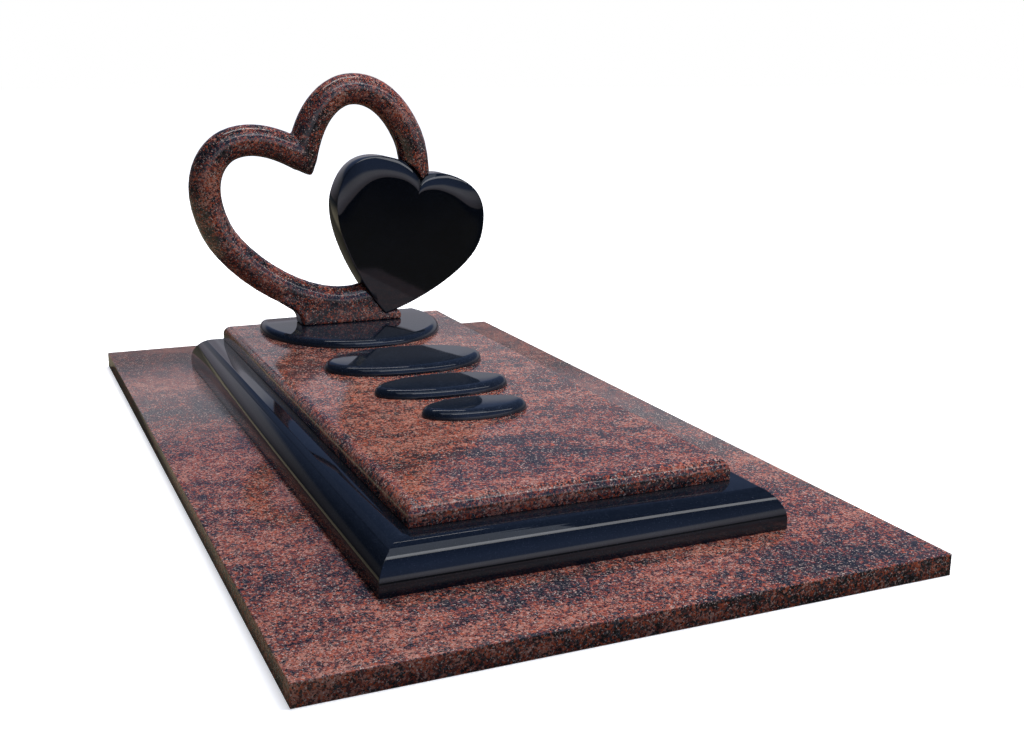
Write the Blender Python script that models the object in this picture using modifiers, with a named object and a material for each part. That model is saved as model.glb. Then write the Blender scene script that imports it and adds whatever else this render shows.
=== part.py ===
"""Double-heart grave memorial in polished granite.

Three stacked slabs lie flat: a red base slab, a black plinth with a moulded upper edge, and a red ledger.
At the head end a black half-oval carries an open heart ring in red granite, which grows out of its own foot,
and a solid black heart whose tip is let into that foot. Three black ovals step down towards the foot end.

Metres, +Z up. The origin is under the middle of the base slab, +Y points to the head end.
"""

import math

import bmesh
import bpy
from mathutils import Vector

# Stacked slabs, from the ground up
BASE_WIDTH = 1.170
BASE_LENGTH = 2.108
BASE_THICKNESS = 0.040
PLINTH_WIDTH = 0.779
PLINTH_LENGTH = 1.665
PLINTH_THICKNESS = 0.080
PLINTH_EDGE_RADIUS = 0.065
LEDGER_INSET = 0.077
LEDGER_THICKNESS = 0.040
LEDGER_EDGE_RADIUS = 0.022
STACK_CENTRE_Y = -0.013
BED_GAP = 0.0003

# Oval plates on the ledger: half width, half length and the Y of the centre
OVAL_THICKNESS = 0.020
OVAL_EDGE_RADIUS = 0.019
OVAL_SIDES = 64
HEART_BASE_HALF_WIDTH = 0.237
HEART_BASE_HALF_LENGTH = 0.265
HEART_BASE_CENTRE_Y = 0.600
HEART_BASE_BACK_Y = 0.687
LARGE_OVAL = (0.193, 0.113, 0.152)
MIDDLE_OVAL = (0.154, 0.075, -0.102)
SMALL_OVAL = (0.115, 0.062, -0.294)

# Both hearts stand in one upright plane
HEART_PLANE_Y = 0.600
JOINT_GAP = 0.0003

# Heart ring: a round bar along a leaning heart-shaped centre line
RING_RADIUS = 0.040
RING_SIDES = 24
RING_LEAN = math.radians(-24.0)
RING_TIP_X = 0.052
RING_TIP_ABOVE_BASE = 0.062
RING_NOTCH_BLUNTING = 0.007
RING_OVERRUN = 0.075

# Foot of the ring
FOOT_LEFT_X = -0.138
FOOT_RIGHT_X = 0.137
FOOT_DEPTH = 0.078
FOOT_STRAIGHT_HEIGHT = 0.005
FOOT_FILLET_RADIUS = 0.040
FOOT_FILLET_ANGLE = math.radians(56.0)
FOOT_SHOULDER_RUN = 0.054
FOOT_NOSE_RADIUS = 0.016
FOOT_NOSE_HEIGHT = 0.026
FOOT_EDGE_RADIUS = 0.010

# Solid heart
SOLID_LEAN = math.radians(17.2)
SOLID_TIP_X = 0.0894
SOLID_TIP_ABOVE_BASE = 0.0185
SOLID_THICKNESS = 0.085
DOME_DEPTH = 0.014
DOME_MIDDLE = (0.0, 0.230)
DOME_SHARE = 0.30
DOME_STEPS = 4

# Levels worked out from the sizes above
BASE_TOP = BASE_THICKNESS
PLINTH_TOP = BASE_TOP + PLINTH_THICKNESS
LEDGER_TOP = PLINTH_TOP + LEDGER_THICKNESS
OVAL_TOP = LEDGER_TOP + OVAL_THICKNESS

RED_GRANITE = ((0.145, 0.055, 0.048, 1.0), 0.12)
BLACK_GRANITE = ((0.006, 0.007, 0.009, 1.0), 0.06)


class HeartShape:
    """Half outline of a heart in its own plane: the tip at (0, 0), the axis along +V."""

    def __init__(self, half_width, widest_at, top_at, top_height, notch_height,
                 tip_pull, flank_pull, shoulder_pull, crown_pull, notch_pull):
        self.widest = (half_width, widest_at)
        self.crown = (top_at, top_height)
        self.notch = (0.0, notch_height)
        self.tip_pull = tip_pull
        self.flank_pull = flank_pull
        self.shoulder_pull = shoulder_pull
        self.crown_pull = crown_pull
        self.notch_pull = notch_pull

    def arcs(self):
        """The three curves of the half: flank, shoulder and the fall into the notch."""
        (wide_u, wide_v), (top_u, top_v) = self.widest, self.crown
        notch_v = self.notch[1]
        flank = ((0.0, 0.0), self.tip_pull, (wide_u, wide_v - self.flank_pull), self.widest)
        shoulder = (self.widest, (wide_u, wide_v + self.shoulder_pull[0]),
                    (top_u + self.shoulder_pull[1], top_v), self.crown)
        fall = (self.crown, (top_u - self.crown_pull, top_v),
                (self.notch_pull[0], notch_v + self.notch_pull[1]), self.notch)
        return flank, shoulder, fall

    def half(self, steps):
        """Points from the tip to the notch, with the given number of steps on each curve."""
        points = [Vector((0.0, 0.0))]
        for arc in self.arcs():
            points += [cubic(arc, step / steps) for step in range(1, steps + 1)]
        return points

    def outline(self, steps):
        """The closed outline, anticlockwise from the tip."""
        half = self.half(steps)
        mirrored = [Vector((-point.x, point.y)) for point in half[-2:0:-1]]
        return half + mirrored


RING_SHAPE = HeartShape(
    half_width=0.282, widest_at=0.340, top_at=0.160, top_height=0.518, notch_height=0.412,
    tip_pull=(0.169, 0.021), flank_pull=0.097, shoulder_pull=(0.144, 0.038),
    crown_pull=0.073, notch_pull=(0.033, 0.045))

SOLID_SHAPE = HeartShape(
    half_width=0.211, widest_at=0.274, top_at=0.077, top_height=0.4035, notch_height=0.368,
    tip_pull=(0.070, 0.044), flank_pull=0.102, shoulder_pull=(0.070, 0.103),
    crown_pull=0.030, notch_pull=(0.006, 0.020))


def cubic(arc, t):
    """Point of a cubic curve, given by four control points, at t from 0 to 1."""
    a, b, c, d = (Vector(point) for point in arc)
    s = 1.0 - t
    return a * s ** 3 + b * (3 * s * s * t) + c * (3 * s * t * t) + d * t ** 3


def arc_points(centre, radius, start, end, steps):
    """Points along a circular arc, both ends included."""
    turns = [start + (end - start) * step / steps for step in range(steps + 1)]
    return [Vector((centre[0] + radius * math.cos(a), centre[1] + radius * math.sin(a))) for a in turns]


def new_collection(name):
    collection = bpy.data.collections.new(name)
    bpy.context.scene.collection.children.link(collection)
    return collection


def granite(name, look):
    """A Principled material with the stone's colour and polish."""
    colour, roughness = look
    material = bpy.data.materials.new(name)
    material.use_nodes = True
    shader = material.node_tree.nodes["Principled BSDF"]
    shader.inputs["Base Color"].default_value = colour
    shader.inputs["Roughness"].default_value = roughness
    shader.inputs["Metallic"].default_value = 0.0
    return material


def place_in(collection, obj):
    for owner in list(obj.users_collection):
        owner.objects.unlink(obj)
    collection.objects.link(obj)


def finish(obj, name, look, collection):
    """Name a piece, give it its stone and smooth shading, and file it."""
    obj.name = name
    obj.data.name = name
    obj.data.materials.clear()
    obj.data.materials.append(granite(name + "_granite", look))
    obj.data.shade_smooth()
    obj.data.set_sharp_from_angle(angle=math.radians(32.0))
    place_in(collection, obj)
    return obj


def round_top(obj, radius, segments):
    """Round the upper rim of an upright prism."""
    mesh = bmesh.new()
    mesh.from_mesh(obj.data)
    top = max(vert.co.z for vert in mesh.verts)
    rim = [edge for edge in mesh.edges
           if all(abs(vert.co.z - top) < 1e-6 for vert in edge.verts)]
    bmesh.ops.bevel(mesh, geom=rim, offset=radius, offset_type='OFFSET', segments=segments,
                    profile=0.5, affect='EDGES')
    mesh.to_mesh(obj.data)
    mesh.free()


def add_slab(width, length, bottom, top, centre_y):
    """A sawn slab between two levels."""
    bpy.ops.mesh.primitive_cube_add(size=1.0, location=(0.0, centre_y, (bottom + top) / 2))
    slab = bpy.context.object
    slab.scale = (width, length, top - bottom)
    bpy.ops.object.transform_apply(location=False, rotation=False, scale=True)
    return slab


def add_oval(half_width, half_length, centre_y, back_y=None):
    """An oval plate on the ledger, its back sawn straight where back_y is given."""
    bottom = LEDGER_TOP + BED_GAP
    bpy.ops.mesh.primitive_cylinder_add(vertices=OVAL_SIDES, radius=1.0, depth=OVAL_TOP - bottom,
                                        location=(0.0, centre_y, (bottom + OVAL_TOP) / 2))
    oval = bpy.context.object
    oval.scale = (half_width, half_length, 1.0)
    bpy.ops.object.transform_apply(location=False, rotation=False, scale=True)
    if back_y is not None:
        mesh = bmesh.new()
        mesh.from_mesh(oval.data)
        everything = mesh.verts[:] + mesh.edges[:] + mesh.faces[:]
        cut = bmesh.ops.bisect_plane(mesh, geom=everything, plane_co=(0.0, back_y - centre_y, 0.0),
                                     plane_no=(0.0, 1.0, 0.0), clear_outer=True)
        bmesh.ops.edgeloop_fill(mesh, edges=[item for item in cut["geom_cut"]
                                             if isinstance(item, bmesh.types.BMEdge)])
        mesh.to_mesh(oval.data)
        mesh.free()
    round_top(oval, OVAL_EDGE_RADIUS, segments=4)
    return oval


def mesh_from_curve(curve_object):
    """Replace a curve object with the welded mesh of its shape."""
    bpy.context.view_layer.update()
    evaluated = curve_object.evaluated_get(bpy.context.evaluated_depsgraph_get())
    data = bpy.data.meshes.new_from_object(evaluated)
    mesh = bmesh.new()
    mesh.from_mesh(data)
    bmesh.ops.remove_doubles(mesh, verts=mesh.verts, dist=0.00001)
    mesh.to_mesh(data)
    mesh.free()
    result = bpy.data.objects.new(curve_object.name + "_mesh", data)
    result.matrix_world = curve_object.matrix_world.copy()
    bpy.context.scene.collection.objects.link(result)
    bpy.data.objects.remove(curve_object, do_unlink=True)
    return result


def add_curve(name, points, closed, dimensions):
    """A curve object of straight segments through points in its XY plane."""
    curve = bpy.data.curves.new(name, 'CURVE')
    curve.dimensions = dimensions
    spline = curve.splines.new('POLY')
    spline.points.add(len(points) - 1)
    for target, point in zip(spline.points, points):
        target.co = (point.x, point.y, 0.0, 1.0)
    spline.use_cyclic_u = closed
    curve_object = bpy.data.objects.new(name, curve)
    bpy.context.scene.collection.objects.link(curve_object)
    return curve_object


def stand_up(obj, tip_x, tip_z, lean):
    """Stand a shape drawn in XY upright in the hearts' plane, its tip placed and its axis leaning."""
    obj.rotation_euler = (math.radians(90.0), lean, 0.0)
    obj.location = (tip_x, HEART_PLANE_Y, tip_z)


def add_prism(name, points, thickness):
    """A flat outline extruded evenly to both sides of its plane, each end a single face."""
    curve_object = add_curve(name, points, closed=True, dimensions='2D')
    curve_object.data.fill_mode = 'BOTH'
    curve_object.data.extrude = thickness / 2
    prism = mesh_from_curve(curve_object)
    mesh = bmesh.new()
    mesh.from_mesh(prism.data)
    for end in (-thickness / 2, thickness / 2):
        cap = [face for face in mesh.faces if abs(face.calc_center_median().z - end) < 1e-6]
        bmesh.ops.dissolve_faces(mesh, faces=cap)
    mesh.to_mesh(prism.data)
    mesh.free()
    return prism


def grown(outline, amount):
    """The outline moved outwards by a small amount."""
    count = len(outline)
    result = []
    for index, point in enumerate(outline):
        before = (point - outline[index - 1]).normalized()
        after = (outline[(index + 1) % count] - point).normalized()
        normal_in = Vector((before.y, -before.x))
        normal_out = Vector((after.y, -after.x))
        bisector = (normal_in + normal_out).normalized()
        result.append(point + bisector * (amount / bisector.dot(normal_in)))
    return result


def dome_front(obj):
    """Dome the front face: it is extruded in steps that shrink towards the heart's middle."""
    mesh = bmesh.new()
    mesh.from_mesh(obj.data)
    level = max(vert.co.z for vert in mesh.verts)
    front = max(mesh.faces, key=lambda face: face.calc_center_median().z)
    edge_shape = [vert.co.xy for vert in front.verts]
    middle = Vector(DOME_MIDDLE)
    for step in range(1, DOME_STEPS + 1):
        inwards = step / DOME_STEPS
        rise = DOME_DEPTH * (1.0 - (1.0 - inwards) ** 2)
        front = bmesh.ops.extrude_discrete_faces(mesh, faces=[front])["faces"][0]
        for vert, edge_point in zip(front.verts, edge_shape):
            flat = edge_point.lerp(middle, DOME_SHARE * inwards)
            vert.co = (flat.x, flat.y, level + rise)
    mesh.to_mesh(obj.data)
    mesh.free()


def add_ring_bar():
    """The round bar of the ring: one limb swept and cut at the axis, then mirrored."""
    half = RING_SHAPE.half(steps=12)
    start_run = (half[0] - half[1]).normalized() * RING_OVERRUN
    end_run = (half[-1] - half[-2]).normalized() * RING_OVERRUN
    path = [half[0] + start_run] + half + [half[-1] + end_run]
    limb = add_curve("ring_limb", path, closed=False, dimensions='3D')
    limb.data.twist_mode = 'MINIMUM'
    limb.data.bevel_depth = RING_RADIUS
    limb.data.bevel_resolution = (RING_SIDES - 4) // 2
    limb.data.use_fill_caps = True
    bar = mesh_from_curve(limb)

    mesh = bmesh.new()
    mesh.from_mesh(bar.data)
    everything = mesh.verts[:] + mesh.edges[:] + mesh.faces[:]
    bmesh.ops.bisect_plane(mesh, geom=everything, plane_co=(0.0, 0.0, 0.0), plane_no=(1.0, 0.0, 0.0),
                           clear_inner=True)
    on_axis = [vert for vert in mesh.verts if abs(vert.co.x) < 1e-6]
    at_notch = [vert for vert in on_axis if vert.co.y > RING_SHAPE.widest[1] / 2]
    lowest = min(vert.co.y for vert in at_notch) + RING_NOTCH_BLUNTING
    for vert in on_axis:
        vert.co.x = 0.0
    for vert in at_notch:
        vert.co.y = max(vert.co.y, lowest)
    mesh.to_mesh(bar.data)
    mesh.free()

    mirror = bar.modifiers.new("other_limb", 'MIRROR')
    mirror.use_axis = (True, False, False)
    mirror.merge_threshold = 0.0001
    return bar


def foot_outline():
    """The foot seen from the front, anticlockwise from its lower right corner, feet at V = 0."""
    nose_centre = (FOOT_RIGHT_X - FOOT_NOSE_RADIUS, FOOT_NOSE_HEIGHT - FOOT_NOSE_RADIUS)
    nose = arc_points(nose_centre, FOOT_NOSE_RADIUS, 0.0, math.radians(100.0), steps=5)
    fillet_centre = (FOOT_LEFT_X - FOOT_FILLET_RADIUS, FOOT_STRAIGHT_HEIGHT)
    fillet = arc_points(fillet_centre, FOOT_FILLET_RADIUS, FOOT_FILLET_ANGLE, 0.0, steps=5)
    uphill = Vector((-math.sin(FOOT_FILLET_ANGLE), math.cos(FOOT_FILLET_ANGLE)))
    shoulder = fillet[0] + uphill * FOOT_SHOULDER_RUN
    inside_ring = Vector((shoulder.x + RING_RADIUS / 2, shoulder.y + RING_RADIUS / 2))
    inside_tip = Vector((RING_TIP_X, RING_TIP_ABOVE_BASE))
    lower_right = Vector((FOOT_RIGHT_X, 0.0))
    lower_left = Vector((FOOT_LEFT_X, 0.0))
    return [lower_right] + nose + [inside_tip, inside_ring, shoulder] + fillet + [lower_left]


def add_foot():
    """The foot block, its upright edges rounded."""
    foot = add_prism("ring_foot", foot_outline(), FOOT_DEPTH)
    mesh = bmesh.new()
    mesh.from_mesh(foot.data)
    rounded = []
    for edge in mesh.edges:
        first, second = (vert.co for vert in edge.verts)
        if abs(first.z - second.z) < 1e-6 and max(first.y, second.y) > 1e-6:
            rounded.append(edge)
    bmesh.ops.bevel(mesh, geom=rounded, offset=FOOT_EDGE_RADIUS, offset_type='OFFSET', segments=3,
                    profile=0.5, affect='EDGES', clamp_overlap=True)
    mesh.to_mesh(foot.data)
    mesh.free()
    foot.rotation_euler = (math.radians(90.0), 0.0, 0.0)
    foot.location = (0.0, HEART_PLANE_Y, OVAL_TOP + BED_GAP)
    return foot


def add_boolean(obj, cutter, operation):
    modifier = obj.modifiers.new(cutter.name, 'BOOLEAN')
    modifier.operation = operation
    modifier.object = cutter
    modifier.solver = 'EXACT'


def as_cutter(obj, collection):
    obj.hide_render = True
    obj.display_type = 'WIRE'
    place_in(collection, obj)


def build_slabs(collection):
    base = add_slab(BASE_WIDTH, BASE_LENGTH, 0.0, BASE_TOP, 0.0)
    finish(base, "base_slab", RED_GRANITE, collection)

    plinth = add_slab(PLINTH_WIDTH, PLINTH_LENGTH, BASE_TOP + BED_GAP, PLINTH_TOP, STACK_CENTRE_Y)
    round_top(plinth, PLINTH_EDGE_RADIUS, segments=8)
    finish(plinth, "plinth", BLACK_GRANITE, collection)

    ledger_width = PLINTH_WIDTH - 2 * LEDGER_INSET
    ledger_length = PLINTH_LENGTH - 2 * LEDGER_INSET
    ledger = add_slab(ledger_width, ledger_length, PLINTH_TOP + BED_GAP, LEDGER_TOP, STACK_CENTRE_Y)
    round_top(ledger, LEDGER_EDGE_RADIUS, segments=5)
    finish(ledger, "ledger", RED_GRANITE, collection)


def build_ovals(collection):
    base = add_oval(HEART_BASE_HALF_WIDTH, HEART_BASE_HALF_LENGTH, HEART_BASE_CENTRE_Y, HEART_BASE_BACK_Y)
    finish(base, "heart_base", BLACK_GRANITE, collection)
    steps = {"step_oval_large": LARGE_OVAL, "step_oval_middle": MIDDLE_OVAL, "step_oval_small": SMALL_OVAL}
    for name, (half_width, half_length, centre_y) in steps.items():
        finish(add_oval(half_width, half_length, centre_y), name, BLACK_GRANITE, collection)


def build_hearts(collection, cutters):
    outline = SOLID_SHAPE.outline(steps=12)
    tip_z = OVAL_TOP + SOLID_TIP_ABOVE_BASE
    solid = add_prism("solid", outline, SOLID_THICKNESS)
    dome_front(solid)
    stand_up(solid, SOLID_TIP_X, tip_z, SOLID_LEAN)
    finish(solid, "solid_heart", BLACK_GRANITE, collection)

    seat = add_prism("solid_heart_seat", grown(outline, JOINT_GAP), 2 * SOLID_THICKNESS)
    stand_up(seat, SOLID_TIP_X, tip_z, SOLID_LEAN)
    as_cutter(seat, cutters)
    foot = add_foot()
    as_cutter(foot, cutters)

    ring = add_ring_bar()
    stand_up(ring, RING_TIP_X, OVAL_TOP + RING_TIP_ABOVE_BASE, RING_LEAN)
    add_boolean(ring, foot, 'UNION')
    add_boolean(ring, seat, 'DIFFERENCE')
    finish(ring, "heart_ring", RED_GRANITE, collection)


def main():
    for leftover in list(bpy.data.objects):
        bpy.data.objects.remove(leftover, do_unlink=True)
    memorial = new_collection("double_heart_memorial")
    cutters = new_collection("cutters")
    build_slabs(memorial)
    build_ovals(memorial)
    build_hearts(memorial, cutters)


main()
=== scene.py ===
"""Looks of a double-heart granite grave memorial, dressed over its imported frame."""

import logging
import math
from collections.abc import Iterable
from dataclasses import dataclass
from enum import Enum

import bpy
from mathutils import Matrix, Vector

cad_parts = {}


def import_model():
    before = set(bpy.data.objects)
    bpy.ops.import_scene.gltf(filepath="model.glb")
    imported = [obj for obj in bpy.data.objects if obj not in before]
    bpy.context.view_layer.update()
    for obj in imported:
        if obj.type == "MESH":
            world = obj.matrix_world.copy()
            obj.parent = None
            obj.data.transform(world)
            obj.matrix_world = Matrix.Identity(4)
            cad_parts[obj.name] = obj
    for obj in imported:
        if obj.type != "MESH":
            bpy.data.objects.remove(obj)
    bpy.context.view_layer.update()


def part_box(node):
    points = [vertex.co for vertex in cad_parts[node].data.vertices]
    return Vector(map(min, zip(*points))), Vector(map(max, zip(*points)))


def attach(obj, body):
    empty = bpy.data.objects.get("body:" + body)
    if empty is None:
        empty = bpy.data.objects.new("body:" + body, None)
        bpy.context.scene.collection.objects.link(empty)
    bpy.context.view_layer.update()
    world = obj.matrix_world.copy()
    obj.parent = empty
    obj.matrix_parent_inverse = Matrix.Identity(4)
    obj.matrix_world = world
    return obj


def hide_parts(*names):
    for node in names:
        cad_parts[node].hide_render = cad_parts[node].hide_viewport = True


LOG = logging.getLogger("memorial")
BODY = "root"
HAIR = 1e-5
LEVEL = 0.999

Point = tuple[float, float]
Range = tuple[float, float]
Triple = tuple[float, float, float]
Colour = tuple[float, float, float, float]
Stops = tuple[tuple[float, Colour], ...]
Socket = bpy.types.NodeSocket

WHITE: Colour = (1.0, 1.0, 1.0, 1.0)
BLACK: Colour = (0.0, 0.0, 0.0, 1.0)

RED_CRYSTALS: Stops = (
    (0.00, (0.340, 0.160, 0.118, 1.0)),
    (0.08, (0.350, 0.080, 0.036, 1.0)),
    (0.22, (0.225, 0.051, 0.029, 1.0)),
    (0.37, (0.122, 0.036, 0.031, 1.0)),
    (0.52, (0.058, 0.038, 0.038, 1.0)),
    (0.66, (0.020, 0.018, 0.019, 1.0)),
    (0.79, (0.052, 0.056, 0.066, 1.0)),
    (0.90, (0.008, 0.008, 0.009, 1.0)),
)
BLACK_CRYSTALS: Stops = (
    (0.00, (0.0030, 0.0042, 0.0066, 1.0)),
    (0.55, (0.0052, 0.0068, 0.0105, 1.0)),
    (0.88, (0.0090, 0.0110, 0.0160, 1.0)),
    (0.97, (0.0160, 0.0185, 0.0250, 1.0)),
)
SKY_FROM_HORIZON: Stops = (
    (0.00, (0.20, 0.18, 0.20, 1.0)),
    (0.06, (0.27, 0.26, 0.31, 1.0)),
    (0.14, (0.42, 0.41, 0.47, 1.0)),
    (0.24, (0.42, 0.43, 0.50, 1.0)),
    (0.31, (0.10, 0.14, 0.26, 1.0)),
    (1.00, (0.07, 0.12, 0.27, 1.0)),
)
FLOOR_TONES: Stops = ((0.3, (0.78, 0.78, 0.78, 1.0)), (0.7, (0.82, 0.82, 0.82, 1.0)))


class Blend(Enum):
    """How two colours are mixed."""

    OVER = "MIX"
    TINT = "MULTIPLY"


class Sum(Enum):
    """What is done with two or three numbers."""

    ADD = "ADD"
    SUBTRACT = "SUBTRACT"
    MULTIPLY = "MULTIPLY"
    MULTIPLY_ADD = "MULTIPLY_ADD"


def input_of(node: bpy.types.Node, name: str) -> Socket:
    """Finds a usable input by its name.

    Args:
        node: The shader node.
        name: The input's name.

    Returns:
        The first enabled input of that name.
    """
    return next(s for s in node.inputs if s.name == name and s.enabled)


@dataclass
class Graph:
    """A node tree while it is being wired."""

    tree: bpy.types.NodeTree

    @classmethod
    def emptied(cls, owner: bpy.types.Material | bpy.types.World) -> "Graph":
        """Empties a material's or a sky's node tree.

        Args:
            owner: The material or the sky.

        Returns:
            Its graph.
        """
        owner.use_nodes = True
        owner.node_tree.nodes.clear()
        return cls(owner.node_tree)

    def add(self, kind: str, **settings: object) -> bpy.types.Node:
        """Adds a node and sets its properties.

        Args:
            kind: The node's type name.
            settings: Properties of the node.

        Returns:
            The new node.
        """
        node = self.tree.nodes.new(kind)
        for name, value in settings.items():
            setattr(node, name, value)
        return node

    def join(self, source: Socket, target: Socket) -> None:
        """Links an output to an input."""
        self.tree.links.new(source, target)

    def feed(self, value: Socket | float | Colour, target: Socket) -> None:
        """Links an output to an input, or sets the input to a fixed value.

        Args:
            value: The output or the fixed value.
            target: The input.
        """
        if isinstance(value, Socket):
            self.join(value, target)
        else:
            target.default_value = value

    def place(self) -> Socket:
        """Gives the place on the object, in metres."""
        return self.add("ShaderNodeTexCoord").outputs["Object"]

    def noise(self, where: Socket, scale: float, detail: float, rough: float) -> bpy.types.Node:
        """Adds a noise texture.

        Args:
            where: Output that gives the place.
            scale: Pattern cycles a metre.
            detail: Octaves of finer noise.
            rough: How strong the finer octaves are.

        Returns:
            The noise node.
        """
        node = self.add("ShaderNodeTexNoise", noise_dimensions="3D")
        input_of(node, "Scale").default_value = scale
        input_of(node, "Detail").default_value = detail
        input_of(node, "Roughness").default_value = rough
        self.join(where, input_of(node, "Vector"))
        return node

    def crystals(self, where: Socket, scale: float) -> bpy.types.Node:
        """Splits the stone into crystals, each with three numbers of its own.

        Args:
            where: Output that gives the place.
            scale: Crystals a metre.

        Returns:
            The node whose Red, Green and Blue outputs are the numbers.
        """
        cells = self.add("ShaderNodeTexVoronoi", voronoi_dimensions="3D", feature="F1")
        input_of(cells, "Scale").default_value = scale
        self.join(where, input_of(cells, "Vector"))
        dice = self.add("ShaderNodeSeparateColor")
        self.join(cells.outputs["Color"], dice.inputs["Color"])
        return dice

    def ramp(self, value: Socket, stops: Stops, stepped: bool = False) -> Socket:
        """Adds a colour ramp.

        Args:
            value: Output that drives the ramp.
            stops: Positions and colours, in order.
            stepped: Whether the colours change at once.

        Returns:
            The ramp's colour output.
        """
        node = self.add("ShaderNodeValToRGB")
        band = node.color_ramp
        band.interpolation = "CONSTANT" if stepped else "LINEAR"
        while len(band.elements) < len(stops):
            band.elements.new(1.0)
        for element, (position, colour) in zip(band.elements, stops):
            element.position = position
            element.color = colour
        self.join(value, input_of(node, "Fac"))
        return node.outputs["Color"]

    def chosen(self, dice: Socket, above: float) -> Socket:
        """Picks the crystals whose number is high.

        Args:
            dice: The crystals' number.
            above: The number from which a crystal is picked.

        Returns:
            White for the picked crystals and black for the others.
        """
        return self.ramp(dice, ((0.0, BLACK), (above, WHITE)), stepped=True)

    def mix(
        self,
        share: Socket | float,
        first: Socket | Colour,
        second: Socket | Colour,
        blend: Blend = Blend.OVER,
    ) -> Socket:
        """Mixes two colours.

        Args:
            share: How much of the second colour is used.
            first: The first colour.
            second: The second colour.
            blend: How they are mixed.

        Returns:
            The mixed colour.
        """
        node = self.add("ShaderNodeMix", data_type="RGBA", blend_type=blend.value)
        for name, value in (("Factor", share), ("A", first), ("B", second)):
            self.feed(value, input_of(node, name))
        return next(s for s in node.outputs if s.enabled)

    def work_out(self, kind: Sum, *numbers: Socket | float) -> Socket:
        """Adds a sum.

        Args:
            kind: The operation.
            numbers: The numbers that go into it, in order.

        Returns:
            The result.
        """
        node = self.add("ShaderNodeMath", operation=kind.value)
        for value, target in zip(numbers, node.inputs):
            self.feed(value, target)
        return node.outputs[0]

    def span(self, value: Socket, start: Range, end: Range) -> Socket:
        """Maps a number from one range to another.

        Args:
            value: The number.
            start: Where the first range starts and ends.
            end: What its start and end become.

        Returns:
            The mapped number.
        """
        node = self.add("ShaderNodeMapRange")
        self.join(value, node.inputs["Value"])
        for name, number in zip(("From Min", "From Max", "To Min", "To Max"), (*start, *end)):
            node.inputs[name].default_value = number
        return node.outputs["Result"]

    def seen_or_mirrored(self, seen: Socket, mirrored: Socket, output: str) -> None:
        """Shows one shader to the camera and another to all other light.

        Args:
            seen: Shader that the camera sees.
            mirrored: Shader that mirrored and bounced light meets.
            output: Type name of the output node.
        """
        ray = self.add("ShaderNodeLightPath")
        choice = self.add("ShaderNodeMixShader")
        self.join(ray.outputs["Is Camera Ray"], choice.inputs[0])
        self.join(mirrored, choice.inputs[1])
        self.join(seen, choice.inputs[2])
        self.join(choice.outputs["Shader"], self.add(output).inputs["Surface"])


def stone_material(name: str) -> tuple[bpy.types.Material, Graph, bpy.types.Node]:
    """Makes an empty material with its shader and output.

    Args:
        name: The material's name.

    Returns:
        The material, its graph and its principled shader.
    """
    material = bpy.data.materials.new(name)
    graph = Graph.emptied(material)
    shader = graph.add("ShaderNodeBsdfPrincipled")
    output = graph.add("ShaderNodeOutputMaterial")
    graph.join(shader.outputs["BSDF"], output.inputs["Surface"])
    return material, graph, shader


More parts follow.
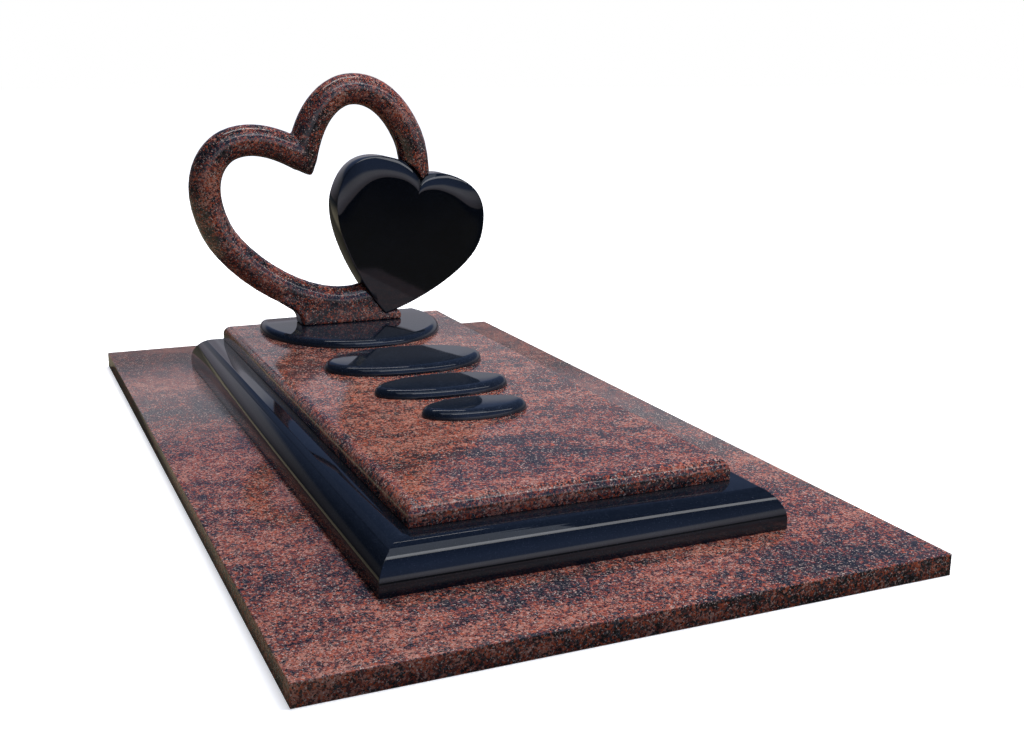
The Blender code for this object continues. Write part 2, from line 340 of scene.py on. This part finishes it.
@dataclass(frozen=True)
class RedGranite:
    """Polished red granite with dark flow bands and mixed crystals.

    A higher warmth gives more red crystals, and a lower depth darkens the colour as painted shade on a copy
    of the same stone.
    """

    name: str
    turn: float = 0.0
    shift: Point = (0.0, 0.0)
    crystal: float = 270.0
    warmth: float = 0.0
    depth: float = 1.0
    ragged_scale: float = 260.0
    ragged_push: float = 0.009
    speck_finer: float = 1.9
    flow_stretch: Triple = (0.30, 1.0, 1.0)
    flow_scale: float = 7.5
    cloud_scale: float = 26.0
    cloud_share: float = 0.7
    band_middle: float = 0.85
    band_strength: float = 2.2
    pale_above: float = 0.93
    pale: Colour = (0.440, 0.350, 0.300, 1.0)
    mica_above: float = 0.84
    mica: Colour = (0.012, 0.013, 0.018, 1.0)
    green_part: float = 0.95
    blue_part: float = 0.92
    polish_scale: float = 60.0
    roughness: Range = (0.075, 0.125)
    relief: float = 0.0006
    relief_strength: float = 0.05
    refraction: float = 1.52

    def make(self) -> bpy.types.Material:
        """Builds the material.

        Returns:
            The granite material.
        """
        material, graph, shader = stone_material(self.name)
        layout = graph.add("ShaderNodeMapping")
        layout.inputs["Location"].default_value = (*self.shift, 0.0)
        layout.inputs["Rotation"].default_value = (0.0, 0.0, self.turn)
        graph.join(graph.place(), layout.inputs["Vector"])
        where = layout.outputs["Vector"]

        ragged = graph.noise(where, self.ragged_scale, 2.0, 0.6)
        push = graph.add("ShaderNodeVectorMath", operation="MULTIPLY_ADD")
        graph.join(ragged.outputs["Color"], push.inputs[0])
        push.inputs[1].default_value = (self.ragged_push,) * 3
        graph.join(where, push.inputs[2])
        crystal = graph.crystals(push.outputs["Vector"], self.crystal)
        speck = graph.crystals(push.outputs["Vector"], self.crystal * self.speck_finer)

        pick = graph.work_out(Sum.ADD, crystal.outputs["Red"], self.bands(graph, where))
        body = graph.ramp(pick, RED_CRYSTALS, stepped=True)
        with_pale = graph.mix(graph.chosen(speck.outputs["Green"], self.pale_above), body, self.pale)
        with_mica = graph.mix(graph.chosen(speck.outputs["Blue"], self.mica_above), with_pale, self.mica)
        # Painted shade: a depth below one scales the colour down.
        tone = (self.depth, self.green_part * self.depth, self.blue_part * self.depth, 1.0)
        graph.join(graph.mix(1.0, with_mica, tone, Blend.TINT), shader.inputs["Base Color"])

        polish = graph.noise(where, self.polish_scale, 2.0, 0.5)
        graph.join(graph.span(polish.outputs["Fac"], (0.0, 1.0), self.roughness), shader.inputs["Roughness"])
        bump = graph.add("ShaderNodeBump")
        bump.inputs["Strength"].default_value = self.relief_strength
        bump.inputs["Distance"].default_value = self.relief
        graph.join(crystal.outputs["Green"], bump.inputs["Height"])
        graph.join(bump.outputs["Normal"], shader.inputs["Normal"])
        shader.inputs["IOR"].default_value = self.refraction
        return material

    def bands(self, graph: Graph, where: Socket) -> Socket:
        """Lays the dark flow bands, stretched across the slab.

        Args:
            graph: The material's graph.
            where: Output that gives the place.

        Returns:
            How far each place leans to the dark crystals.
        """
        stretched = graph.add("ShaderNodeMapping")
        stretched.inputs["Scale"].default_value = self.flow_stretch
        graph.join(where, stretched.inputs["Vector"])
        flow = graph.noise(stretched.outputs["Vector"], self.flow_scale, 4.0, 0.62)
        cloud = graph.noise(where, self.cloud_scale, 3.0, 0.6)
        clouded = graph.work_out(
            Sum.MULTIPLY_ADD, cloud.outputs["Fac"], self.cloud_share, flow.outputs["Fac"]
        )
        centred = graph.work_out(Sum.SUBTRACT, clouded, self.band_middle + self.warmth)
        return graph.work_out(Sum.MULTIPLY, centred, self.band_strength)


@dataclass(frozen=True)
class BlackGranite:
    """Mirror-polished black granite with faint grey crystals.

    A higher sheen gain lightens the colour as a painted sky sheen, and a lower one darkens it as painted
    shade; the stone is the same on every piece.
    """

    name: str
    painted_sheen_gain: float = 1.0
    crystal: float = 700.0
    cloud_scale: float = 9.0
    cloud_ends: Range = (0.35, 0.65)
    tint: Triple = (0.9, 1.0, 1.1)
    weakest: float = 0.75
    roughness: Range = (0.0315, 0.0585)
    refraction: float = 1.5

    def make(self) -> bpy.types.Material:
        """Builds the material.

        Returns:
            The granite material.
        """
        material, graph, shader = stone_material(self.name)
        place = graph.place()
        body = graph.ramp(graph.crystals(place, self.crystal).outputs["Red"], BLACK_CRYSTALS, stepped=True)
        cloud = graph.noise(place, self.cloud_scale, 3.0, 0.55)
        # Painted sky sheen and shade: the stone's colour is scaled up or down by the piece's gain, standing
        # in for mirrored sky.
        strong = tuple(part * self.painted_sheen_gain for part in self.tint)
        weak = tuple(self.weakest * part for part in strong)
        ends = zip(self.cloud_ends, ((*weak, 1.0), (*strong, 1.0)))
        tone = graph.ramp(cloud.outputs["Fac"], tuple(ends))
        graph.join(graph.mix(1.0, body, tone, Blend.TINT), shader.inputs["Base Color"])
        graph.join(graph.span(cloud.outputs["Fac"], (0.0, 1.0), self.roughness), shader.inputs["Roughness"])
        shader.inputs["IOR"].default_value = self.refraction
        return material


def deselect_everything() -> None:
    """Leaves no object selected."""
    if bpy.context.object and bpy.context.object.mode != "OBJECT":
        bpy.ops.object.mode_set(mode="OBJECT")
    bpy.ops.object.select_all(action="DESELECT")


def take_up(piece: bpy.types.Object) -> None:
    """Makes a piece the only selected object, and the active one.

    Args:
        piece: The piece.
    """
    deselect_everything()
    piece.select_set(True)
    bpy.context.view_layer.objects.active = piece


def settled(name: str) -> bpy.types.Object:
    """Names the active object and moves its place and size into its mesh.

    Args:
        name: The piece's name.

    Returns:
        The object.
    """
    piece = bpy.context.object
    piece.name = name
    piece.data.name = name
    bpy.ops.object.transform_apply(location=True, rotation=True, scale=True)
    return piece


def added(name: str, mesh: bpy.types.Mesh) -> bpy.types.Object:
    """Puts a mesh into the scene as a new piece and takes it up.

    Args:
        name: The piece's name.
        mesh: Its mesh.

    Returns:
        The piece.
    """
    mesh.name = name
    piece = bpy.data.objects.new(name, mesh)
    bpy.context.scene.collection.objects.link(piece)
    take_up(piece)
    return piece


def apply_modifiers(piece: bpy.types.Object) -> None:
    """Applies every modifier of a piece.

    Args:
        piece: The piece.
    """
    take_up(piece)
    for modifier in list(piece.modifiers):
        bpy.ops.object.modifier_apply(modifier=modifier.name)


def smooth(piece: bpy.types.Object, degrees: float) -> None:
    """Shades a piece smooth up to an angle.

    Args:
        piece: The piece.
        degrees: Edges sharper than this stay crisp.
    """
    take_up(piece)
    bpy.ops.object.shade_smooth_by_angle(angle=math.radians(degrees))


def start_edit(mode: str) -> None:
    """Enters edit mode with nothing selected.

    Args:
        mode: What is picked, edges or faces.
    """
    bpy.ops.object.mode_set(mode="EDIT")
    bpy.ops.mesh.select_mode(type=mode)
    bpy.ops.mesh.select_all(action="DESELECT")


def round_rim(piece: bpy.types.Object, top: float, radius: float, segments: int) -> None:
    """Rounds the upper rim of a plate, and stays in edit mode.

    Args:
        piece: The plate, active and in object mode.
        top: Height of its flat top.
        radius: Radius of the rim.
        segments: Steps of the rounding.
    """
    start_edit("EDGE")
    bpy.ops.object.mode_set(mode="OBJECT")
    mesh = piece.data
    for edge in mesh.edges:
        edge.select = all(mesh.vertices[end].co.z > top - HAIR for end in edge.vertices)
    bpy.ops.object.mode_set(mode="EDIT")
    bpy.ops.mesh.bevel(offset=radius, segments=segments, profile=0.5, affect="EDGES")


def break_arrises(piece: bpy.types.Object, width: float, segments: int, degrees: float) -> None:
    """Takes the sharpness off a piece's arrises.

    Args:
        piece: The piece.
        width: Width of the broken arris.
        segments: Steps of its rounding.
        degrees: Arrises sharper than this are broken.
    """
    arris = piece.modifiers.new("arris", "BEVEL")
    arris.width = width
    arris.segments = segments
    arris.limit_method = "ANGLE"
    arris.angle_limit = math.radians(degrees)
    apply_modifiers(piece)


def finish_piece(piece: bpy.types.Object, finish: RedGranite | BlackGranite, node: str) -> None:
    """Dresses a finished piece and ties it to the frame.

    Args:
        piece: The finished piece.
        finish: The stone that it is made of.
        node: The CAD node that it replaces.
    """
    piece.data.materials.clear()
    piece.data.materials.append(finish.make())
    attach(piece, BODY)
    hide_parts(node)
    LOG.info("%s: %d faces", piece.name, len(piece.data.polygons))


@dataclass
class Slab:
    """A sawn slab whose upper edge may be moulded to a quarter round."""

    node: str
    slot: str
    finish: RedGranite | BlackGranite
    edge_radius: float
    edge_segments: int
    moulded: bool = True
    land: float = 0.003
    arris: float = 0.0012
    arris_degrees: float = 50.0
    crisp_degrees: float = 32.0

    def build(self) -> bpy.types.Object:
        """Models and dresses the slab.

        Returns:
            The slab.
        """
        low, high = (Vector(corner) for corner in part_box(self.node))
        deselect_everything()
        bpy.ops.mesh.primitive_cube_add(size=1.0, location=(low + high) / 2.0, scale=high - low)
        slab = settled(self.node + "_polished")
        round_rim(slab, high.z, self.edge_radius, self.edge_segments)
        bpy.ops.object.mode_set(mode="OBJECT")
        if self.moulded:
            self.inset_land(slab, high.z)
        break_arrises(slab, self.arris, 2, self.arris_degrees)
        smooth(slab, self.crisp_degrees)
        finish_piece(slab, self.finish, self.node)
        return slab

    def inset_land(self, slab: bpy.types.Object, top: float) -> None:
        """Insets the flat top a little, so that its shading stays flat.

        Args:
            slab: The slab.
            top: Height of the flat top.
        """
        start_edit("FACE")
        bpy.ops.object.mode_set(mode="OBJECT")
        for face in slab.data.polygons:
            face.select = face.normal.z > LEVEL and face.center.z > top - HAIR
        bpy.ops.object.mode_set(mode="EDIT")
        bpy.ops.mesh.inset(thickness=self.land, depth=0.0)
        bpy.ops.object.mode_set(mode="OBJECT")


@dataclass
class OvalPlate:
    """A thin oval plate with a rounded rim, sawn straight at the back where it is a base."""

    node: str
    slot: str
    finish: BlackGranite
    half_width: float
    half_length: float
    middle_y: float
    sawn_at: float | None = None
    sides: int = 160
    edge_radius: float = 0.019
    edge_segments: int = 14
    arris: float = 0.0008
    arris_degrees: float = 55.0
    crisp_degrees: float = 35.0

    def build(self) -> bpy.types.Object:
        """Models and dresses the plate.

        Returns:
            The plate.
        """
        low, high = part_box(self.node)
        deselect_everything()
        bpy.ops.mesh.primitive_cylinder_add(
            vertices=self.sides,
            radius=1.0,
            depth=high[2] - low[2],
            end_fill_type="NGON",
            location=(0.0, self.middle_y, (low[2] + high[2]) / 2.0),
            scale=(self.half_width, self.half_length, 1.0),
        )
        plate = settled(self.node + "_polished")
        round_rim(plate, high[2], self.edge_radius, self.edge_segments)
        if self.sawn_at is not None:
            bpy.ops.mesh.select_all(action="SELECT")
            bpy.ops.mesh.bisect(
                plane_co=(0.0, self.sawn_at, 0.0),
                plane_no=(0.0, 1.0, 0.0),
                use_fill=True,
                clear_outer=True,
            )
        bpy.ops.object.mode_set(mode="OBJECT")
        break_arrises(plate, self.arris, 2, self.arris_degrees)
        smooth(plate, self.crisp_degrees)
        finish_piece(plate, self.finish, self.node)
        return plate


def arc_points(handles: tuple[Point, Point, Point, Point], count: int) -> list[Point]:
    """Walks a cubic arc.

    Args:
        handles: Its start, its two handles and its end.
        count: How many steps the walk has.

    Returns:
        The points, without the last.
    """
    points = []
    for step in range(count):
        t = step / count
        s = 1.0 - t
        weights = (s * s * s, 3 * s * s * t, 3 * s * t * t, t * t * t)
        points.append(tuple(sum(w * p[axis] for w, p in zip(weights, handles)) for axis in (0, 1)))
    return points


@dataclass(frozen=True)
class HeartLine:
    """The outline of an upright heart, its tip at nought."""

    half_width: float
    widest_at: float
    top_at: float
    top_height: float
    notch_height: float
    tip_pull: Point
    flank_pull: float
    shoulder_pull: Point
    crown_pull: float
    notch_pull: Point

    def outline(self, steps: int) -> list[Point]:
        """Walks the whole outline, counter-clockwise from the tip.

        Args:
            steps: Steps on each of the three arcs of a half.

        Returns:
            The points.
        """
        wide = (self.half_width, self.widest_at)
        crown = (self.top_at, self.top_height)
        notch = (0.0, self.notch_height)
        below = (wide[0], wide[1] - self.flank_pull)
        above = (wide[0], wide[1] + self.shoulder_pull[0])
        outward = (crown[0] + self.shoulder_pull[1], crown[1])
        inward = (crown[0] - self.crown_pull, crown[1])
        dip = (self.notch_pull[0], notch[1] + self.notch_pull[1])
        right = arc_points(((0.0, 0.0), self.tip_pull, below, wide), steps)
        right += arc_points((wide, above, outward, crown), steps)
        right += arc_points((crown, inward, dip, notch), steps)
        return right + [notch] + [(-x, y) for x, y in reversed(right[1:])]


@dataclass(frozen=True)
class Lean:
    """Where a heart's tip stands and how far the heart leans, in degrees."""

    tip: Triple
    degrees: float

    def matrix(self) -> Matrix:
        """Works out where the upright heart stands.

        Returns:
            The move from the heart's own plane to its place.
        """
        upright = Matrix.Rotation(math.radians(90.0), 4, "X")
        turn = Matrix.Rotation(math.radians(self.degrees), 4, "Y") @ upright
        return Matrix.Translation(self.tip) @ turn


@dataclass
class SolidHeart:
    """The black heart: a thick plate whose front falls back softly at the lobes."""

    node: str = "solid_heart"
    slot: str = "solid_heart_granite"
    # Painted shade: this copy of the black granite is darkened.
    finish: BlackGranite = BlackGranite("solid_heart_black", painted_sheen_gain=0.6)
    line: HeartLine = HeartLine(
        half_width=0.211,
        widest_at=0.274,
        top_at=0.077,
        top_height=0.4035,
        notch_height=0.368,
        tip_pull=(0.070, 0.044),
        flank_pull=0.102,
        shoulder_pull=(0.070, 0.103),
        crown_pull=0.030,
        notch_pull=(0.006, 0.020),
    )
    lean: Lean = Lean((0.0894, 0.600, 0.1985), 17.2)
    arc_steps: int = 40
    thickness: float = 0.085
    pillow: float = 0.014
    pillow_share: float = 0.30
    pillow_steps: int = 14
    pillow_middle: Triple = (0.0, 0.230, 0.0)
    flat_below: float = 0.200
    full_above: float = 0.345
    arris: float = 0.0016
    arris_degrees: float = 48.0
    crisp_degrees: float = 28.0

    def build(self) -> bpy.types.Object:
        """Models and dresses the heart.

        Returns:
            The heart.
        """
        points = self.line.outline(self.arc_steps)
        mesh = bpy.data.meshes.new("solid_heart_polished")
        mesh.from_pydata([(x, y, 0.0) for x, y in points], [], [tuple(range(len(points)))])
        heart = added("solid_heart_polished", mesh)
        bpy.ops.object.mode_set(mode="EDIT")
        bpy.ops.mesh.select_mode(type="FACE")
        bpy.ops.mesh.select_all(action="SELECT")
        bpy.ops.transform.translate(value=(0.0, 0.0, -self.thickness / 2.0))
        self.extrude(self.thickness - self.pillow)
        self.raise_pillow()
        bpy.ops.mesh.select_all(action="SELECT")
        bpy.ops.mesh.normals_make_consistent(inside=False)
        bpy.ops.object.mode_set(mode="OBJECT")
        self.flatten_flanks(heart)
        break_arrises(heart, self.arris, 3, self.arris_degrees)
        heart.data.transform(self.lean.matrix())
        smooth(heart, self.crisp_degrees)
        finish_piece(heart, self.finish, self.node)
        return heart

    def extrude(self, height: float) -> None:
        """Extrudes the selected face forwards."""
        bpy.ops.mesh.extrude_region_move(TRANSFORM_OT_translate={"value": (0.0, 0.0, height)})

    def raise_pillow(self) -> None:
        """Raises the front in steps that shrink towards the heart's middle."""
        raised = 0.0
        reached = 1.0
        for step in range(1, self.pillow_steps + 1):
            inward = step / self.pillow_steps
            height = self.pillow * (1.0 - (1.0 - inward) ** 2)
            share = 1.0 - self.pillow_share * inward
            self.extrude(height - raised)
            bpy.ops.transform.resize(
                value=(share / reached, share / reached, 1.0),
                center_override=self.pillow_middle,
                orient_type="GLOBAL",
            )
            raised = height
            reached = share

    def flatten_flanks(self, heart: bpy.types.Object) -> None:
        """Keeps the pillow's fall to the lobes and lays the flanks flat to their arris.

        Args:
            heart: The heart in its own plane.
        """
        face = self.thickness / 2.0
        for vertex in heart.data.vertices:
            fall = face - vertex.co.z
            if fall > self.pillow + HAIR:
                continue
            rise = (vertex.co.y - self.flat_below) / (self.full_above - self.flat_below)
            share = min(max(rise, 0.0), 1.0)
            vertex.co.z = face - fall * share * share * (3.0 - 2.0 * share)


@dataclass
class HeartRing:
    """The open red heart with its foot, cut where the black heart sits in it."""

    node: str = "heart_ring"
    slot: str = "heart_ring_granite"
    # Painted shade: this copy of the red granite is darkened to 0.86.
    finish: RedGranite = RedGranite(
        "heart_ring_red", turn=0.4, shift=(0.3, 0.1), crystal=250.0, warmth=0.04 / 3.0, depth=0.86
    )
    merge_within: float = 0.00002
    voxel: float = 0.0027
    rubs: int = 14
    notch_tip: Triple = (-0.100, 0.600, 0.568)
    notch_reach: float = 0.040
    notch_rubs: int = 200

    def build(self) -> bpy.types.Object:
        """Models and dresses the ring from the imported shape.

        Returns:
            The ring.
        """
        ring = added("heart_ring_polished", bpy.data.objects[self.node].data.copy())
        bpy.ops.object.mode_set(mode="EDIT")
        bpy.ops.mesh.select_all(action="SELECT")
        bpy.ops.mesh.remove_doubles(threshold=self.merge_within)
        bpy.ops.mesh.normals_make_consistent(inside=False)
        bpy.ops.object.mode_set(mode="OBJECT")
        carve = ring.modifiers.new("carve", "REMESH")
        carve.mode = "VOXEL"
        carve.voxel_size = self.voxel
        carve.use_smooth_shade = True
        self.rub(ring, self.rubs, "")
        self.rub(ring, self.notch_rubs, self.mark_notch(ring))
        bpy.ops.object.shade_smooth()
        finish_piece(ring, self.finish, self.node)
        return ring

    def rub(self, ring: bpy.types.Object, times: int, group: str) -> None:
        """Rubs the facets down to one carved surface.

        Args:
            ring: The ring.
            times: How often it is rubbed.
            group: Name of the vertices that are rubbed, or nothing for all.
        """
        rub = ring.modifiers.new("rub", "SMOOTH")
        rub.factor = 0.5
        rub.iterations = times
        rub.vertex_group = group
        apply_modifiers(ring)

    def mark_notch(self, ring: bpy.types.Object) -> str:
        """Groups the vertices round the inner tip of the notch.

        Args:
            ring: The ring.

        Returns:
            The group's name.
        """
        tip = Vector(self.notch_tip)
        near = [v.index for v in ring.data.vertices if (v.co - tip).length < self.notch_reach]
        group = ring.vertex_groups.new(name="notch")
        group.add(near, 1.0, "REPLACE")
        return group.name


@dataclass(frozen=True)
class Lamp:
    """A soft rectangular lamp, which the polish mirrors or not."""

    name: str
    spot: Triple
    size: Point
    watts: float
    colour: Triple
    mirrored: bool = False
    aim: Triple = (0.0, 0.2, 0.2)

    def hang(self) -> None:
        """Hangs the lamp at its spot and turns it to its aim."""
        data = bpy.data.lights.new(self.name, "AREA")
        data.shape = "RECTANGLE"
        data.size, data.size_y = self.size
        data.energy = self.watts
        data.color = self.colour
        lamp = bpy.data.objects.new(self.name, data)
        lamp.visible_glossy = self.mirrored
        lamp.location = self.spot
        lamp.rotation_euler = (Vector(self.aim) - Vector(self.spot)).to_track_quat("-Z", "Y").to_euler()
        bpy.context.scene.collection.objects.link(lamp)


LAMPS = (
    Lamp("key_lamp", (3.2, -1.5, 3.9), (2.2, 2.2), 175.0, (1.0, 0.96, 0.91)),
    Lamp("fill_lamp", (-3.2, -1.4, 2.6), (2.6, 2.6), 2.0, (1.0, 0.98, 0.96)),
    Lamp("back_lamp", (0.6, 2.0, 4.2), (2.4, 2.4), 220.0, (1.0, 0.98, 0.96)),
    Lamp("soft_box", (-0.2, -1.3, 3.4), (3.2, 1.3), 13.0, (0.84, 0.91, 1.0), True, (-0.2, 0.5, 0.4)),
    Lamp("strip_lamp", (1.7, -1.75, 2.9), (4.8, 0.42), 20.0, (0.97, 0.98, 1.0), True, (1.7, -0.6, 0.2)),
    Lamp("top_strip", (-0.1, 0.9, 2.6), (1.6, 0.22), 6.0, (1.0, 0.98, 0.97), True, (-0.1, 0.6, 0.5)),
)


@dataclass
class Studio:
    """Floor, sky, lamps and camera. Angles are in degrees."""

    lens: float = 43.70
    sensor_width: float = 36.0
    view_reach: float = 200.0
    camera_at: Triple = (-0.93602, -2.58352, 0.87227)
    yaw: float = 24.0058
    pitch: float = 14.3234
    roll: float = -0.42436
    floor_size: float = 60.0
    floor_height: float = -0.0005
    floor_glow: Range = (0.5, 1.0)
    floor_glow_from: Range = (1.6, 4.5)
    earth: Colour = (0.060, 0.055, 0.040, 1.0)
    sunlit_earth: Colour = (0.34, 0.30, 0.20, 1.0)
    sunlit_from: Range = (-0.50, -0.72)
    left_shade_from: Range = (-0.50, 0.05)
    left_shade: Range = (0.25, 1.0)
    front_light_from: Range = (-0.35, -0.80)
    front_light: Range = (1.0, 2.6)

    def build(self) -> None:
        """Sets up everything around the memorial."""
        self.lay_floor()
        self.paint_sky()
        for lamp in LAMPS:
            lamp.hang()
        self.place_camera()
        bpy.context.scene.view_settings.view_transform = "Standard"

    def lay_floor(self) -> None:
        """Lays the pale floor under the memorial."""
        deselect_everything()
        bpy.ops.mesh.primitive_grid_add(
            x_subdivisions=4, y_subdivisions=4, size=self.floor_size, location=(0.0, 0.0, self.floor_height)
        )
        floor = settled("floor")
        floor.data.materials.append(self.floor_material())

    def floor_material(self) -> bpy.types.Material:
        """Makes the floor pale to look at, and earth-toned where the polish mirrors it.

        Returns:
            The floor's material.
        """
        material = bpy.data.materials.new("pale_floor")
        graph = Graph.emptied(material)
        place = graph.place()
        pale = graph.add("ShaderNodeBsdfDiffuse")
        soft = graph.noise(place, 1.5, 2.0, 0.5)
        graph.join(graph.ramp(soft.outputs["Fac"], FLOOR_TONES), pale.inputs["Color"])
        reach = graph.add("ShaderNodeVectorMath", operation="LENGTH")
        graph.join(place, reach.inputs[0])
        glow = graph.add("ShaderNodeEmission")
        strength = graph.span(reach.outputs["Value"], self.floor_glow_from, self.floor_glow)
        graph.join(strength, glow.inputs["Strength"])
        lit = graph.add("ShaderNodeAddShader")
        graph.join(pale.outputs["BSDF"], lit.inputs[0])
        graph.join(glow.outputs["Emission"], lit.inputs[1])
        sides = graph.add("ShaderNodeSeparateXYZ")
        graph.join(place, sides.inputs["Vector"])
        leftward = graph.span(sides.outputs["X"], self.sunlit_from, (0.0, 1.0))
        earth = graph.add("ShaderNodeBsdfDiffuse")
        graph.join(graph.mix(leftward, self.earth, self.sunlit_earth), earth.inputs["Color"])
        graph.seen_or_mirrored(lit.outputs["Shader"], earth.outputs["BSDF"], "ShaderNodeOutputMaterial")
        return material

    def paint_sky(self) -> None:
        """Paints a white backdrop and the soft sky that the polish mirrors."""
        world = bpy.data.worlds.new("studio_sky")
        bpy.context.scene.world = world
        graph = Graph.emptied(world)
        direction = graph.add("ShaderNodeTexCoord").outputs["Generated"]
        split = graph.add("ShaderNodeSeparateXYZ")
        graph.join(direction, split.inputs["Vector"])
        from_left = graph.span(split.outputs["X"], self.left_shade_from, self.left_shade)
        from_front = graph.span(split.outputs["Y"], self.front_light_from, self.front_light)
        strength = graph.work_out(Sum.MULTIPLY, from_left, from_front)
        shade = graph.add("ShaderNodeCombineColor")
        for channel in ("Red", "Green", "Blue"):
            graph.join(strength, shade.inputs[channel])
        height_colour = graph.ramp(split.outputs["Z"], SKY_FROM_HORIZON)
        sky = graph.add("ShaderNodeBackground")
        graph.join(graph.mix(1.0, height_colour, shade.outputs["Color"], Blend.TINT), sky.inputs["Color"])
        plain = graph.add("ShaderNodeBackground")
        plain.inputs["Color"].default_value = WHITE
        graph.seen_or_mirrored(
            plain.outputs["Background"], sky.outputs["Background"], "ShaderNodeOutputWorld"
        )

    def place_camera(self) -> None:
        """Puts the camera where the photograph was taken from."""
        yaw, pitch, roll = (math.radians(angle) for angle in (self.yaw, self.pitch, self.roll))
        level = math.cos(pitch)
        forward = Vector((math.sin(yaw) * level, math.cos(yaw) * level, -math.sin(pitch)))
        right = Vector((math.cos(yaw), -math.sin(yaw), 0.0))
        down = forward.cross(right)
        rolled_right = math.cos(roll) * right + math.sin(roll) * down
        rolled_down = -math.sin(roll) * right + math.cos(roll) * down
        turn = Matrix((rolled_right, -rolled_down, -forward)).transposed()
        data = bpy.data.cameras.new("photo_camera")
        data.lens = self.lens
        data.sensor_width = self.sensor_width
        data.sensor_fit = "HORIZONTAL"
        data.clip_end = self.view_reach
        camera = bpy.data.objects.new("photo_camera", data)
        camera.matrix_world = Matrix.Translation(self.camera_at) @ turn.to_4x4()
        bpy.context.scene.collection.objects.link(camera)
        bpy.context.scene.camera = camera


def main() -> None:
    """Builds the memorial's looks, piece by piece."""
    logging.basicConfig(level=logging.INFO, format="%(message)s")
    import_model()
    pieces = (
        Slab(
            "base_slab",
            "base_slab_granite",
            RedGranite("base_slab_red"),
            edge_radius=0.0015,
            edge_segments=2,
            moulded=False,
        ),
        Slab("plinth", "plinth_granite", BlackGranite("plinth_black"), edge_radius=0.065, edge_segments=40),
        Slab(
            "ledger",
            "ledger_granite",
            RedGranite("ledger_red", turn=0.12, shift=(0.7, 0.4)),
            edge_radius=0.022,
            edge_segments=18,
        ),
        OvalPlate(
            "heart_base",
            "heart_base_granite",
            # Painted sky sheen: this copy of the black granite is lightened.
            BlackGranite("heart_base_black", painted_sheen_gain=1.9),
            half_width=0.237,
            half_length=0.265,
            middle_y=0.600,
            sawn_at=0.687,
        ),
        OvalPlate(
            "step_oval_large",
            "step_oval_granite",
            # Painted sky sheen: this copy of the black granite is lightened.
            BlackGranite("large_oval_black", painted_sheen_gain=1.9),
            half_width=0.193,
            half_length=0.113,
            middle_y=0.152,
        ),
        OvalPlate(
            "step_oval_middle",
            "step_oval_granite",
            BlackGranite("middle_oval_black", painted_sheen_gain=1.9),
            # Painted sky sheen: this copy of the black granite is lightened.
            half_width=0.154,
            half_length=0.075,
            middle_y=-0.102,
        ),
        OvalPlate(
            "step_oval_small",
            "step_oval_granite",
            BlackGranite("small_oval_black", painted_sheen_gain=1.9),
            half_width=0.115,
            # Painted sky sheen: this copy of the black granite is lightened.
            half_length=0.062,
            middle_y=-0.294,
        ),
        HeartRing(),
        SolidHeart(),
    )
    for piece in pieces:
        piece.build()
    Studio().build()


if __name__ == "__main__":
    main()
